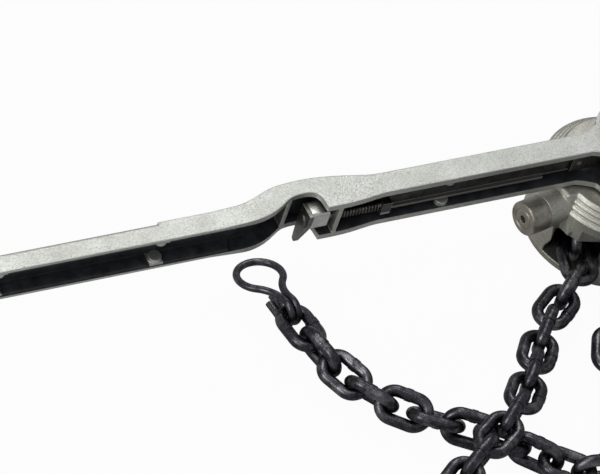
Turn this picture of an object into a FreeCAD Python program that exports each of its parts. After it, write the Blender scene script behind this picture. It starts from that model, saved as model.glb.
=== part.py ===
import FreeCAD, Part
import math
import os
from FreeCAD import Vector as V

# Ratchet lever chain hoist lying on its side, in millimetres.
# Origin: on the shaft axis, at the flat underside of the housing. +Z runs up the shaft.
# The handle points to -X with its open side to -Y, and the hoist's own long axis,
# from the chain mouth to the lug of the top hook, is turned by BODY_ANGLE from +X.

os.makedirs("parts", exist_ok=True)

# Fits and small clearances
RUN_FIT = 0.05           # radial clearance of a shaft in its bush
GAP = 0.3                # side clearance between pieces that move past each other
SLIDE_GAP = 0.4          # clearance round a sliding rod or bar

# Load chain: round wire links
WIRE = 7.1
LINK_INSIDE = 21.0
LINK_THROAT = 9.4
WELD_RADIUS = 3.9
WELD_LENGTH = 3.6
TAUT_PITCH = 20.6        # link to link where the chain is drawn out
LOOSE_PITCH = 19.95      # link to link where the chain is pushed together
SEAT_PLAY = 0.15         # left between a link and its neighbour round the wheel
SEAT_TURN = 20.0

# Housing
BODY_ANGLE = 75.0
COVER = 5.0              # bottom plate
HOUSING_WALL = 5.4
ROOF = 6.0
BEVEL = 10.0             # height of the bevel round the top
BEVEL_IN = 8.7           # how far it goes in
TURNED_LINES = (2.0, 4.2, 6.4)   # grooves turned in the bevel, from its outer edge
CHAIN_ROOM = 5.9         # free space round the chain on the wheel
CHAIN_Z = 18.0           # middle of the chain in the housing
MOUTH_TOP = 40.0
MOUTH_START = 37.0
MOUTH_CLEAR = 1.9
ARM_ANGLE = 189.5
ARM_HALF = 12.0
ARM_FRONT = 17.0         # foot of the arm's sloping front, from its middle
ARM_TOP_HALF = 5.5       # front edge of the arm's top, from its middle
ARM_END = 45.8
SCREW_INSET = 2.8        # from the housing's outer wall to the screws' ring
SCREW_ANGLES = (32.0, -32.0, 100.0, -100.0, 180.0)
SCREW_R = 1.6
SCREW_HEAD_R = 2.4
SCREW_HEAD = 2.2
LUG_R = 57.0             # pivot of the top hook block, from the shaft
LUG_HALF = 10.5
LUG_CHEEK = 4.7
LUG_LOW = 5.3
LUG_HIGH = 30.7
LUG_PIN_R = 4.0
LUG_TURN = -13.0         # turns the lug from the housing's own axis

# Shaft, bushes and wheels
SHAFT_R = 9.0
BUSH_WALL = 2.5
SHEAVE_R = 31.0
SHEAVE_HALF = 12.2
GROOVE_HALF = 4.3
GROOVE_FLOOR_R = 14.4
RATCHET_TEETH = 12
HOLD_TIP_R = 26.5
HOLD_ROOT_R = 22.5
HOLD_ABOVE_CHAIN = 20.5  # underside of the holding ratchet above the chain's middle
HOLD_THICK = 9.0
DRIVE_TIP_R = 22.0
DRIVE_ROOT_R = 17.6
DRIVE_THICK = 13.0

# Handle: a channel of two flanges and a web
HEAD_GAP = 2.0           # from the housing's top to the handle
HANDLE_WIDTH = 29.0
FLANGE = 4.0
WEB = 4.0
HALF_DEPTH = 7.0
HANDLE_LENGTH = 470.0
GRIP_START = 262.0
ROUND_START = 309.0      # where the grip's rounded back corners begin
GRIP_INSET = 2.0         # how much narrower the grip is on each flange side
GRIP_BACK = 4.4
GRIP_FRONT = 8.5
HUMP_BACK = 13.0
EYE_R = 26.0
LOWER_EYE_R = 29.0
EYE_REACH = 34.0         # where the eye's hollow sides run into the channel
LOWER_EYE_REACH = 38.0
THROAT_X = 30.0          # where the straight channel ends
NOTCH_FRONT = 251.0
NOTCH_LEFT = 225.5
NOTCH_RIGHT = 207.8
NOTCH_FLOOR = 3.1
HUMP_END = 168.0
CHEEK_FRONT = 9.5        # front of the cheek between the notch and the channel
RIB = 2.6
RIB_X = 199.6            # grip side of the rib that guides the rod
NIB = 2.4                # casting nibs inside the flanges
NIB_R = 4.0
HANG_HOLE_R = 4.0
HANG_HOLE_INSET = 11.0

# Finger trigger and its bar
ROD_R = 1.6
ROD_Y = -3.5
ROD_UP = 13.0            # rod's axis above the handle's underside
BLOCK_BACK = 3.0
BLOCK_FRONT = -8.0
BLOCK_DOWN = 4.5         # trigger block below and above the rod's axis
BLOCK_UP = 8.5
PLATE = 2.6
PLATE_X = 217.6          # grip side of the finger plate
BLOCK_END = 204.0
BAR_X = 168.0            # grip end of the operating bar
BAR_BACK = 2.0
BAR_THICK = 3.0
BAR_DOWN = 5.5           # bar below and above the rod's axis
BAR_UP = 9.0
BAR_LIP = 1.6
BAR_LIP_OUT = 2.5
SPRING_WIRE = 1.1
SPRING_COILS = 14.0
SPRING_CLEAR = 0.3
NOSE_LENGTH = 20.0
NOSE_HALF = 3.0

# Pull knob of the holding plunger
KNOB_ANGLE = 190.8
KNOB_R = 10.5
KNOB_START = 58.8
KNOB_END = 72.0
KNOB_HOLE_R = 2.4
BOSS_R = 10.4
BOSS_END = 58.4
BOSS_START = 40.0
PLUNGER_R = 4.0
PLUNGER_SPRING_COILS = 4.0

# Hooks
HOOK_R = 24.0            # middle of the bow
HOOK_WIRE_NECK = 7.4
HOOK_WIRE_BACK = 9.6
HOOK_WIRE_TIP = 6.0
SHANK_R = 7.0
COLLAR_R = 11.0
COLLAR = 4.0
CHEEK_HALF = 2.8
SWIVEL_NUT = 6.0
TOP_TURN = -55.0         # how far the top hook block is turned from the hoist's axis
TOP_BLOCK = 38.0         # pin to hook end of the top hook block

# Stop loop on the slack end
LOOP_WIRE = 4.4
LOOP_HOLD = 1.8          # slack of its hooked ends round the last link
LOOP_R = 13.5
LOOP_FLARE_R = 22.0
LOOP_STRAIGHT = 1.8
LOOP_LEAN = 18.0         # how steeply the loop goes down from the last link
LOOP_LEG_GAP = 0.2       # between its two legs in the link
LOOP_TIP = 13.0

HALF_LINK = LINK_INSIDE / 2 + WIRE / 2
BAR_OFFSET = LINK_THROAT / 2 + WIRE / 2
LINK_WIDE = BAR_OFFSET + WIRE / 2
UP = V(0, 0, 1)
ORIGIN = V(0, 0, 0)

# Round the wheel every second link stands in a pocket, the others lie in the groove.
seat = LINK_THROAT / 2 - WIRE / 2 - SEAT_PLAY
seat_along = LINK_INSIDE / 2 - LINK_THROAT / 2 + seat * math.cos(math.radians(SEAT_TURN))
HALF_ROOT = math.sqrt(0.5)
POCKET_LINE = (seat_along + HALF_LINK * HALF_ROOT) / HALF_ROOT
GROOVE_LINE = (POCKET_LINE * HALF_ROOT + HALF_LINK * HALF_ROOT
               + seat * math.sin(math.radians(SEAT_TURN)))

# The head is built up around the chain, and the handle on the head.
CAVITY_R = POCKET_LINE + LINK_WIDE + CHAIN_ROOM
CAVITY_TOP = CHAIN_Z + SHEAVE_HALF + 0.8
HOUSING_R = CAVITY_R + HOUSING_WALL
SCREW_RING_R = HOUSING_R - SCREW_INSET
HOLD_BOTTOM = CHAIN_Z + HOLD_ABOVE_CHAIN
KNOB_Z = HOLD_BOTTOM + HOLD_THICK / 2
RATCHET_ROOM_R = HOLD_TIP_R + 1.5
RATCHET_ROOM_TOP = HOLD_BOTTOM + HOLD_THICK + 2.5
HOUSING_TOP = RATCHET_ROOM_TOP + ROOF
BEVEL_START = HOUSING_TOP - BEVEL
BEVEL_TOP_R = HOUSING_R - BEVEL_IN
HANDLE_BOTTOM = HOUSING_TOP + HEAD_GAP
HANDLE_TOP = HANDLE_BOTTOM + HANDLE_WIDTH
HANDLE_MID = HANDLE_BOTTOM + HANDLE_WIDTH / 2
ROD_Z = HANDLE_BOTTOM + ROD_UP
BLOCK_LOW = ROD_Z - BLOCK_DOWN
BLOCK_HIGH = ROD_Z + BLOCK_UP
BAR_LOW = ROD_Z - BAR_DOWN
BAR_HIGH = ROD_Z + BAR_UP


def save(node, shapes):
    """Writes one node as one STEP file; a list becomes separate solids."""
    shape = Part.makeCompound(shapes) if isinstance(shapes, list) else shapes
    solids = shape.Solids
    print(node, "solids", len(solids), "volume", round(sum(s.Volume for s in solids), 1),
          "valid", shape.isValid())
    out = solids[0] if len(solids) == 1 else Part.makeCompound(solids)
    out.exportStep("parts/" + node + ".step")
    return shape


def box(x0, x1, y0, y1, z0, z1):
    return Part.makeBox(x1 - x0, y1 - y0, z1 - z0, V(x0, y0, z0))


def drum(radius, z0, z1, x=0.0, y=0.0):
    return Part.makeCylinder(radius, z1 - z0, V(x, y, z0), UP)


def ring(outer, inner, z0, z1, x=0.0, y=0.0):
    return drum(outer, z0, z1, x, y).cut(drum(inner, z0 - 1, z1 + 1, x, y))


def prism(points, z0, z1):
    """A polygon in the XY plane, raised from z0 to z1."""
    corners = [V(p[0], p[1], z0) for p in points]
    wire = Part.makePolygon(corners + [corners[0]])
    return Part.Face(wire).extrude(V(0, 0, z1 - z0))


def turned(shape, degrees):
    """A copy turned about the shaft axis."""
    copy = shape.copy()
    copy.rotate(ORIGIN, UP, degrees)
    return copy


def rod(radius, start, end):
    """A round bar between two points."""
    axis = end - start
    return Part.makeCylinder(radius, axis.Length, start, axis)


def arc(start, middle, end):
    return Part.Arc(start, middle, end).toShape()


def line(start, end):
    return Part.makeLine(start, end)


def tube(edges, radius):
    """A round wire swept along edges that join smoothly."""
    path = Part.Wire(edges)
    first = path.Edges[0]
    start = first.valueAt(first.FirstParameter)
    tangent = first.tangentAt(first.FirstParameter)
    section = Part.Wire([Part.makeCircle(radius, start, tangent)])
    solid = path.makePipeShell([section], True, False)
    print("  tube volume over section times length:",
          round(solid.Volume / (math.pi * radius ** 2 * path.Length), 4))
    return solid


def coil(mean_r, wire_d, turns, length, start, axis):
    """A helical spring as one tube on quarter-turn biarcs about an axis."""
    steps = int(round(turns * 4))
    half_wire = wire_d / 2
    rise = (length - wire_d) / steps
    spin = FreeCAD.Rotation(UP, axis)

    def at(k):
        angle = math.radians(90.0 * k)
        local = V(mean_r * math.cos(angle), mean_r * math.sin(angle), half_wire + rise * k)
        return start + spin.multVec(local)

    edges = []
    for k in range(steps):
        edges.append(arc(at(k), at(k + 0.5), at(k + 1)))
    pitch = 4 * rise
    print("  spring pitch", round(pitch, 3), "least gap to itself", round(pitch - wire_d, 3))
    path = Part.Wire(edges)
    first = path.Edges[0]
    section = Part.Wire([Part.makeCircle(half_wire, first.valueAt(first.FirstParameter),
                                         first.tangentAt(first.FirstParameter))])
    return path.makePipeShell([section], True, False)


def ratchet(tip_r, root_r, z0, z1, nose_half, nose_angle):
    """A toothed wheel; each gap is a slot wide enough for the nose of its pawl."""
    wheel = drum(tip_r, z0, z1)
    for k in range(RATCHET_TEETH):
        slot = box(root_r, tip_r + 2, -nose_half - GAP, nose_half + GAP, z0 - 1, z1 + 1)
        wheel = wheel.cut(turned(slot, nose_angle + 360.0 * k / RATCHET_TEETH))
    return wheel


# Housing, in its own axes: L along the hoist, W across it, turned at the end.
STRAND_IN = GROOVE_LINE - LINK_WIDE - MOUTH_CLEAR
STRAND_OUT = GROOVE_LINE + LINK_WIDE + MOUTH_CLEAR


def chain_ways(z0, z1):
    """Two straight ways for the chain, from the wheel out through the wall."""
    ways = []
    for side in (-1, 1):
        near = min(side * STRAND_IN, side * STRAND_OUT)
        far = max(side * STRAND_IN, side * STRAND_OUT)
        ways.append(box(-HOUSING_R - 5, 0, near, far, z0, z1))
    return ways


def lug_plan(z0, z1):
    """A round-ended tongue from the drum to the pivot of the top hook block."""
    neck = box(CAVITY_R, LUG_R, -LUG_HALF, LUG_HALF, z0, z1)
    return turned(neck.fuse(drum(LUG_HALF, z0, z1, LUG_R, 0)), LUG_TURN)


def at_knob(shape):
    """From a line along +L to the knob's line, in the housing's own axes."""
    return turned(shape, KNOB_ANGLE - BODY_ANGLE)


def on_knob_axis(radius, r0, r1):
    return at_knob(Part.makeCylinder(radius, r1 - r0, V(r0, 0, KNOB_Z), V(1, 0, 0)))


screw_spots = []
for degrees in SCREW_ANGLES:
    a = math.radians(degrees)
    screw_spots.append((SCREW_RING_R * math.cos(a), SCREW_RING_R * math.sin(a)))
screw_holes = [drum(SCREW_R, -1, COVER + 12, l, w) for l, w in screw_spots]
screw_sinks = [drum(SCREW_HEAD_R + 0.1, -1, 0.4 + SCREW_HEAD, l, w) for l, w in screw_spots]

cover = drum(HOUSING_R, 0, COVER)
cover = cover.makeChamfer(1.0, [e for e in cover.Edges if e.BoundBox.ZMax < 0.01])
cover = cover.cut(screw_holes).cut(screw_sinks)
cover = cover.cut(drum(SHAFT_R + BUSH_WALL, 0.6, COVER + 1))

body = drum(HOUSING_R, COVER, BEVEL_START)
body = body.fuse(Part.makeCone(HOUSING_R, BEVEL_TOP_R, HOUSING_TOP - BEVEL_START,
                               V(0, 0, BEVEL_START), UP))
for inset in TURNED_LINES:
    level = BEVEL_START + BEVEL * inset / BEVEL_IN
    radius = HOUSING_R - inset
    body = body.cut(ring(radius + 0.5, radius - 0.5, level - 0.7, HOUSING_TOP + 1))
arm_low = CAVITY_TOP + 1
arm_waist = KNOB_Z - 8.0
arm_side = [V(0, -ARM_HALF, arm_low), V(0, ARM_FRONT, arm_low), V(0, ARM_FRONT, arm_waist),
            V(0, ARM_TOP_HALF, HOUSING_TOP), V(0, -ARM_HALF, HOUSING_TOP)]
arm = Part.Face(Part.makePolygon(arm_side + [arm_side[0]])).extrude(V(ARM_END, 0, 0))
arm_edges = [e for e in arm.Edges if e.BoundBox.XMin > ARM_END - 0.01 and e.BoundBox.ZMax > arm_low + 1]
arm = arm.makeFillet(2.5, arm_edges)
body = body.fuse(turned(arm, ARM_ANGLE - BODY_ANGLE))
boss = on_knob_axis(BOSS_R, BOSS_START, BOSS_END)
foot_top = KNOB_Z - 6.0
foot_side = [V(BOSS_START, 0, COVER), V(HOUSING_R - 1, 0, COVER), V(HOUSING_R + 5.5, 0, foot_top),
             V(BOSS_START, 0, foot_top)]
foot = Part.Face(Part.makePolygon(foot_side + [foot_side[0]])).extrude(V(0, 2 * BOSS_R - 4.5, 0))
foot.translate(V(0, 1.5 - BOSS_R, 0))
foot = at_knob(foot)
body = body.fuse([boss, foot, lug_plan(LUG_LOW, LUG_HIGH)])
body = body.cut(drum(CAVITY_R, 0, CAVITY_TOP)).cut(drum(RATCHET_ROOM_R, CAVITY_TOP - 1, RATCHET_ROOM_TOP))
body = body.cut(chain_ways(COVER - 1, CAVITY_TOP))
for way in chain_ways(CAVITY_TOP - 1, MOUTH_TOP):
    body = body.cut(way.common(box(-HOUSING_R - 5, -MOUTH_START, -60, 60, 0, 60)))
lug_slot = box(LUG_R - LUG_HALF - 1.5, LUG_R + LUG_HALF + 2, -LUG_HALF - 2, LUG_HALF + 2,
               LUG_LOW + LUG_CHEEK, LUG_HIGH - LUG_CHEEK)
body = body.cut([turned(lug_slot, LUG_TURN), turned(drum(LUG_PIN_R, 0, 60, LUG_R, 0), LUG_TURN)])
body = body.cut(drum(SHAFT_R + BUSH_WALL, RATCHET_ROOM_TOP - 1, HOUSING_TOP + 1))
spring_room_r = 7.2
spring_room_start = 39.5
body = body.cut([on_knob_axis(spring_room_r, spring_room_start, BOSS_END + 1),
                 on_knob_axis(PLUNGER_R + SLIDE_GAP, 20, 50)])
body = body.cut(screw_holes)

guide_start = SHEAVE_R + 2.0
guide = box(-HOUSING_R + 2.5, -GROOVE_FLOOR_R, -STRAND_IN, STRAND_IN, COVER, CAVITY_TOP - 0.5)
guide = guide.cut(ring(200, CAVITY_R - GAP, 0, 60))
stripper = box(-guide_start - 1, -GROOVE_FLOOR_R - 1.2, -STRAND_IN + 6.5, STRAND_IN - 6.5,
               CHAIN_Z - GROOVE_HALF + 0.8, CHAIN_Z + GROOVE_HALF - 0.8)
guide = guide.cut(drum(guide_start, 0, 60)).fuse(stripper.cut(drum(GROOVE_FLOOR_R + 1.2, 0, 60)))

screws = []
for l, w in screw_spots:
    shank = drum(SCREW_R, 0.4, COVER + 10, l, w)
    head = drum(SCREW_HEAD_R, 0.4, 0.4 + SCREW_HEAD, l, w)
    socket = drum(1.2, 0, 1.8, l, w)
    screws.append(shank.fuse(head).cut(socket))

save("housing", turned(body, BODY_ANGLE))
save("bottom_cover", turned(cover, BODY_ANGLE))
save("chain_guide", turned(guide, BODY_ANGLE))
save("cover_screws", [turned(s, BODY_ANGLE) for s in screws])
save("cover_bush", ring(SHAFT_R + BUSH_WALL, SHAFT_R + RUN_FIT, 0.6, COVER))
save("housing_bush", ring(SHAFT_R + BUSH_WALL, SHAFT_R + RUN_FIT, RATCHET_ROOM_TOP,
                          HANDLE_BOTTOM - GAP))

# Shaft and what turns with it
KEY_HALF = 2.0
KEY_DEPTH = 2.0
sheave_low = CHAIN_Z - SHEAVE_HALF
sheave_high = CHAIN_Z + SHEAVE_HALF
hold_top = HOLD_BOTTOM + HOLD_THICK
drive_low = HANDLE_MID - DRIVE_THICK / 2
drive_high = HANDLE_MID + DRIVE_THICK / 2
thread_r = SHAFT_R - 2.0
thread_start = HANDLE_TOP + 1.0
key_space = box(SHAFT_R - KEY_DEPTH, SHAFT_R + KEY_DEPTH, -KEY_HALF, KEY_HALF, sheave_low + 1, hold_top)
drive_key_space = box(SHAFT_R - KEY_DEPTH, SHAFT_R + KEY_DEPTH, -KEY_HALF, KEY_HALF,
                      drive_low, drive_high)
WASHER = 2.0
NUT = 7.0
shaft = drum(SHAFT_R, 0.8, thread_start).fuse(drum(thread_r, thread_start, thread_start + WASHER + NUT + 2))
shaft = shaft.cut([key_space, drive_key_space])
sheave = drum(SHEAVE_R, sheave_low, sheave_high)
pocket_floor = POCKET_LINE - WIRE / 2 - 2 * GAP
pocket_half = HALF_LINK + WIRE / 2 + 1.0
for k in range(4):
    pocket = box(pocket_floor, SHEAVE_R + 5, -pocket_half, pocket_half, 0, 60)
    sheave = sheave.cut(turned(pocket, BODY_ANGLE + 45 + 90 * k))
groove = ring(SHEAVE_R + 5, GROOVE_FLOOR_R, CHAIN_Z - GROOVE_HALF, CHAIN_Z + GROOVE_HALF)
sheave = sheave.cut(groove).cut([drum(SHAFT_R, 0, 60), key_space])
hold_wheel = ratchet(HOLD_TIP_R, HOLD_ROOT_R, HOLD_BOTTOM, hold_top, NOSE_HALF, KNOB_ANGLE)
hold_wheel = hold_wheel.fuse(drum(14, sheave_high, HOLD_BOTTOM + 1))
hold_wheel = hold_wheel.cut([drum(SHAFT_R, 0, 60), key_space])
drive_wheel = ratchet(DRIVE_TIP_R, DRIVE_ROOT_R, drive_low, drive_high, NOSE_HALF, 180.0)
drive_wheel = drive_wheel.fuse(drum(13, HANDLE_BOTTOM + FLANGE + GAP, HANDLE_TOP - FLANGE - GAP))
drive_wheel = drive_wheel.cut([drum(SHAFT_R, 0, HANDLE_TOP + 1), drive_key_space])
washer = ring(15.0, thread_r + 0.2, thread_start, thread_start + WASHER)
nut_corner = 13.8
nut_points = [(nut_corner * math.cos(math.radians(60 * k)), nut_corner * math.sin(math.radians(60 * k)))
              for k in range(6)]
shaft_nut = prism(nut_points, thread_start + WASHER, thread_start + WASHER + NUT)
shaft_nut = shaft_nut.common(Part.makeCone(nut_corner + 1.7, nut_corner - 1.6, NUT,
                                           V(0, 0, thread_start + WASHER), UP))
shaft_nut = shaft_nut.cut(drum(thread_r, thread_start, thread_start + WASHER + NUT + 1))
save("main_shaft", shaft)
save("load_sheave", sheave)
save("holding_ratchet", hold_wheel)
save("drive_ratchet", drive_wheel)
save("shaft_keys", [key_space, drive_key_space])
save("shaft_washer", washer)
save("shaft_nut", shaft_nut)


# Handle

# The lever's outline: a straight grip, a hump over the finger notch and a straight channel.
hump = [(-GRIP_START, GRIP_BACK), (-249.0, 6.5), (-237.0, 11.0), (-227.0, 12.5), (-217.0, HUMP_BACK),
        (-204.0, 12.3), (-186.0, 9.6), (-HUMP_END, HALF_DEPTH)]
notch = [(-NOTCH_RIGHT - 0.5, -3.5), (-NOTCH_RIGHT - 2.4, 1.2), (-NOTCH_RIGHT - 6.7, NOTCH_FLOOR),
         (-220.0, NOTCH_FLOOR + 0.1), (-NOTCH_LEFT, NOTCH_FLOOR - 0.7), (-232.0, -1.0), (-240.0, -5.2),
         (-NOTCH_FRONT, -GRIP_FRONT + 0.4), (-GRIP_START, -GRIP_FRONT)]
cheek = [(-HUMP_END, -HALF_DEPTH), (-180.0, -8.2), (-193.0, -CHEEK_FRONT + 0.15), (-200.0, -CHEEK_FRONT)]


def smooth(points, first, last):
    """A smooth edge through points of the XY plane, leaving and arriving along two directions."""
    curve = Part.BSplineCurve()
    curve.interpolate(Points=[V(x, y, 0) for x, y in points],
                      InitialTangent=V(*first), FinalTangent=V(*last), Scale=False)
    return curve.toShape()


def straight(points):
    """Straight edges from point to point of the XY plane."""
    return [line(V(*a, 0), V(*b, 0)) for a, b in zip(points, points[1:])]


def raised(edges, z0, z1):
    """A closed run of edges of the XY plane, raised from z0 to z1."""
    solid = Part.Face(Part.Wire(edges)).extrude(V(0, 0, z1 - z0))
    solid.translate(V(0, 0, z0))
    return solid


room_low = HANDLE_BOTTOM + FLANGE
room_high = HANDLE_TOP - FLANGE
end_wall = 24.0


def eye_plan(radius, reach):
    """Disc round the shaft with a hollow-sided throat that runs into the channel."""
    side = radius * math.sin(math.radians(62))
    near = -radius * math.cos(math.radians(62))
    mid_x = (near * 0.9 - reach) / 1.9
    mid_y = HALF_DEPTH + (side - HALF_DEPTH) * 0.27
    edges = [arc(V(-reach, -HALF_DEPTH, 0), V(mid_x, -mid_y, 0), V(near, -side, 0)),
             line(V(near, -side, 0), V(near, side, 0)),
             arc(V(near, side, 0), V(mid_x, mid_y, 0), V(-reach, HALF_DEPTH, 0)),
             line(V(-reach, HALF_DEPTH, 0), V(-reach, -HALF_DEPTH, 0))]
    return Part.Face(Part.Wire(edges))


def eye(radius, reach, z0, z1):
    throat = eye_plan(radius, reach).extrude(V(0, 0, z1 - z0))
    throat.translate(V(0, 0, z0))
    return throat.fuse(drum(radius, z0, z1))


back_edges = [smooth(hump, (1, 0, 0), (1, 0, 0))]
back_edges += straight([(-HUMP_END, HALF_DEPTH), (-THROAT_X, HALF_DEPTH), (-THROAT_X, -HALF_DEPTH),
                        (-HUMP_END, -HALF_DEPTH)])
front_edges = [smooth(cheek, (-1, 0, 0), (-1, 0, 0))]
front_edges += straight([cheek[-1], (-NOTCH_RIGHT, -CHEEK_FRONT), notch[0]])
front_edges.append(smooth(notch, (-0.1, 1, 0), (-1, 0, 0)))
front_edges += straight([(-GRIP_START, -GRIP_FRONT), (-HANDLE_LENGTH + 6, -GRIP_FRONT),
                         (-HANDLE_LENGTH, -GRIP_FRONT + 5), (-HANDLE_LENGTH, GRIP_BACK - 4),
                         (-HANDLE_LENGTH + 5, GRIP_BACK), (-GRIP_START, GRIP_BACK)])
lever = raised(back_edges + front_edges, HANDLE_BOTTOM, HANDLE_TOP)
room_left = -HANDLE_LENGTH + end_wall
room_edges = [smooth([(x, y - WEB) for x, y in hump], (1, 0, 0), (1, 0, 0))]
room_edges += straight([(-HUMP_END, HALF_DEPTH - WEB), (0, HALF_DEPTH - WEB), (0, -60), (room_left, -60),
                        (room_left, GRIP_BACK - WEB), (-GRIP_START, GRIP_BACK - WEB)])
room = raised(room_edges, room_low, room_high)
lever = lever.cut(room)


def grip_wedge(level, sign):
    """A long wedge that takes the grip's flange down by its inset."""
    pts = [V(-HANDLE_LENGTH - 5, -30, level), V(-GRIP_START - 14, -30, level),
           V(-GRIP_START + 12, -30, level + sign * GRIP_INSET), V(-GRIP_START + 12, -30, level + sign * 9),
           V(-HANDLE_LENGTH - 5, -30, level + sign * 9)]
    return Part.Face(Part.makePolygon(pts + [pts[0]])).extrude(V(0, 60, 0))


lever = lever.cut([grip_wedge(HANDLE_TOP - GRIP_INSET, 1), grip_wedge(HANDLE_BOTTOM + GRIP_INSET, -1)])
PAD = 1.6
for level in (room_low, room_high - PAD):
    pad = prism([(-HANDLE_LENGTH + 20, GRIP_BACK - 2), (-GRIP_START, GRIP_BACK - 2),
                 (-GRIP_START - 3, -GRIP_FRONT + 0.6), (-HANDLE_LENGTH + 20, -GRIP_FRONT + 0.6)],
                level, level + PAD)
    lever = lever.fuse(pad)
ROUND = 3.0
for z, sign in ((HANDLE_TOP - GRIP_INSET, -1), (HANDLE_BOTTOM + GRIP_INSET, 1)):
    middle = z + sign * ROUND
    corner = box(-HANDLE_LENGTH - 1, -ROUND_START, GRIP_BACK - ROUND, GRIP_BACK + 1,
                 min(z - sign, middle), max(z - sign, middle))
    round_bar = Part.makeCylinder(ROUND, HANDLE_LENGTH - GRIP_START,
                                  V(-HANDLE_LENGTH - 2, GRIP_BACK - ROUND, middle), V(1, 0, 0))
    lever = lever.cut(corner.cut(round_bar))

# Ribs each side of the finger notch, the rod's guide and the eyes round the shaft.
rib_left = box(-NOTCH_LEFT - RIB, -NOTCH_LEFT, NOTCH_FLOOR - 1.4, 11.0, room_low - 1, room_high + 1)
rib_right = box(-RIB_X, -RIB_X + RIB, -CHEEK_FRONT + 0.4, 10.0, room_low - 1, room_high + 1)
rod_path = rod(ROD_R + SLIDE_GAP, V(-RIB_X - 5, ROD_Y, ROD_Z), V(-RIB_X + 9, ROD_Y, ROD_Z))
lever = lever.fuse([rib_left, rib_right]).cut(rod_path)
lever = lever.fuse([eye(EYE_R, EYE_REACH, room_high, HANDLE_TOP),
                    eye(LOWER_EYE_R, LOWER_EYE_REACH, HANDLE_BOTTOM, room_low)])
eye_bore_r = SHAFT_R + BUSH_WALL
lever = lever.cut(drum(eye_bore_r, HANDLE_BOTTOM - 1, HANDLE_TOP + 1))
lever = lever.cut(drum(HANG_HOLE_R, HANDLE_BOTTOM - 1, HANDLE_TOP + 1,
                       -HANDLE_LENGTH + HANG_HOLE_INSET, (GRIP_BACK - GRIP_FRONT) / 2))
nibs = []
for x, front, inside in ((-126.0, -HALF_DEPTH, 0.0), (-310.0, -GRIP_FRONT, PAD), (-409.0, -GRIP_FRONT, PAD)):
    for z0 in (room_low + inside, room_high - inside - NIB):
        nibs.append(drum(NIB_R, z0, z0 + NIB, x, front + 0.6 + NIB_R))
lever = lever.fuse(nibs).removeSplitter()
save("handle_channel", lever)
save("handle_bushes", [ring(eye_bore_r, SHAFT_R + RUN_FIT, HANDLE_BOTTOM, room_low),
                       ring(eye_bore_r, SHAFT_R + RUN_FIT, room_high, HANDLE_TOP)])

# Finger trigger: plate, block, rivet, rod, bar and nose, all one sliding train
leaf_back = BLOCK_BACK - 1.1
leaf = [V(-PLATE_X, leaf_back, BLOCK_HIGH), V(-PLATE_X, -9.0, BLOCK_HIGH), V(-PLATE_X, -9.0, ROD_Z + 1),
        V(-PLATE_X, -7.0, ROD_Z - 7), V(-PLATE_X, -2.6, ROD_Z - 19.6),
        V(-PLATE_X, -0.9, ROD_Z - 21.1), V(-PLATE_X, 0.9, ROD_Z - 19.8), V(-PLATE_X, leaf_back, ROD_Z - 9)]
leaf_edges = [line(leaf[0], leaf[1]), arc(leaf[1], leaf[2], leaf[3]), line(leaf[3], leaf[4]),
              arc(leaf[4], leaf[5], leaf[6]), line(leaf[6], leaf[7]), line(leaf[7], leaf[0])]
plate = Part.Face(Part.Wire(leaf_edges)).extrude(V(PLATE, 0, 0))
block = box(-PLATE_X + PLATE, -BLOCK_END, BLOCK_FRONT, BLOCK_BACK, BLOCK_LOW, BLOCK_HIGH)
block = block.makeFillet(2.0, [e for e in block.Edges if e.BoundBox.XLength > 5])
rod_start = V(-PLATE_X, ROD_Y, ROD_Z)
rod_hole = rod(ROD_R, rod_start - V(5, 0, 0), V(-BLOCK_END + 5, ROD_Y, ROD_Z))
RIVET_HEAD = 1.6
rivet = rod(4.4, rod_start - V(RIVET_HEAD, 0, 0), rod_start)
rivet = rivet.makeFillet(1.0, [e for e in rivet.Edges
                               if abs(e.BoundBox.XMax + PLATE_X + RIVET_HEAD) < 0.01])
seat_length = 6.0
pull_rod = rod(ROD_R, rod_start, V(-BAR_X + seat_length - 1.5, ROD_Y, ROD_Z))
bar_front = BAR_BACK - BAR_THICK
bar_end = -DRIVE_TIP_R - 9.0
bar = box(-BAR_X, bar_end, bar_front, BAR_BACK, BAR_LOW, BAR_HIGH)
lug = box(-BAR_X, -BAR_X + seat_length, ROD_Y - 2.9, BAR_BACK, BAR_LOW, ROD_Z + 3.6)
lip = box(-BAR_X, -60.0, bar_front - BAR_LIP_OUT, bar_front, BAR_LOW, BAR_LOW + BAR_LIP)
bar = bar.fuse([lug, lip]).cut(pull_rod)
nose = box(-DRIVE_TIP_R - NOSE_LENGTH, -DRIVE_ROOT_R - GAP, -NOSE_HALF, NOSE_HALF,
           HANDLE_MID - 6.0, HANDLE_MID + 6.0).cut(bar)
pin_x = -DRIVE_TIP_R - NOSE_LENGTH + 5
nose_pin = rod(1.5, V(pin_x, -NOSE_HALF, HANDLE_MID), V(pin_x, NOSE_HALF, HANDLE_MID))
save("finger_plate", plate.cut(rod_hole))
save("trigger_block", block.cut(rod_hole))
save("trigger_rivet", rivet)
save("pull_rod", pull_rod)
save("operating_bar", bar.cut(nose_pin))
save("drive_pawl", nose.cut(nose_pin))
save("pawl_pin", nose_pin)
spring_r = ROD_R + SPRING_CLEAR + SPRING_WIRE / 2
spring_start = -RIB_X + RIB
save("return_spring", coil(spring_r, SPRING_WIRE, SPRING_COILS, -BAR_X - spring_start,
                           V(spring_start, ROD_Y, ROD_Z), V(1, 0, 0)))


# Holding plunger with its knob, spring and plug

def on_knob_line(shape):
    return turned(shape, KNOB_ANGLE)


def radial(radius, r0, r1):
    return on_knob_line(Part.makeCylinder(radius, r1 - r0, V(r0, 0, KNOB_Z), V(1, 0, 0)))


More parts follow.
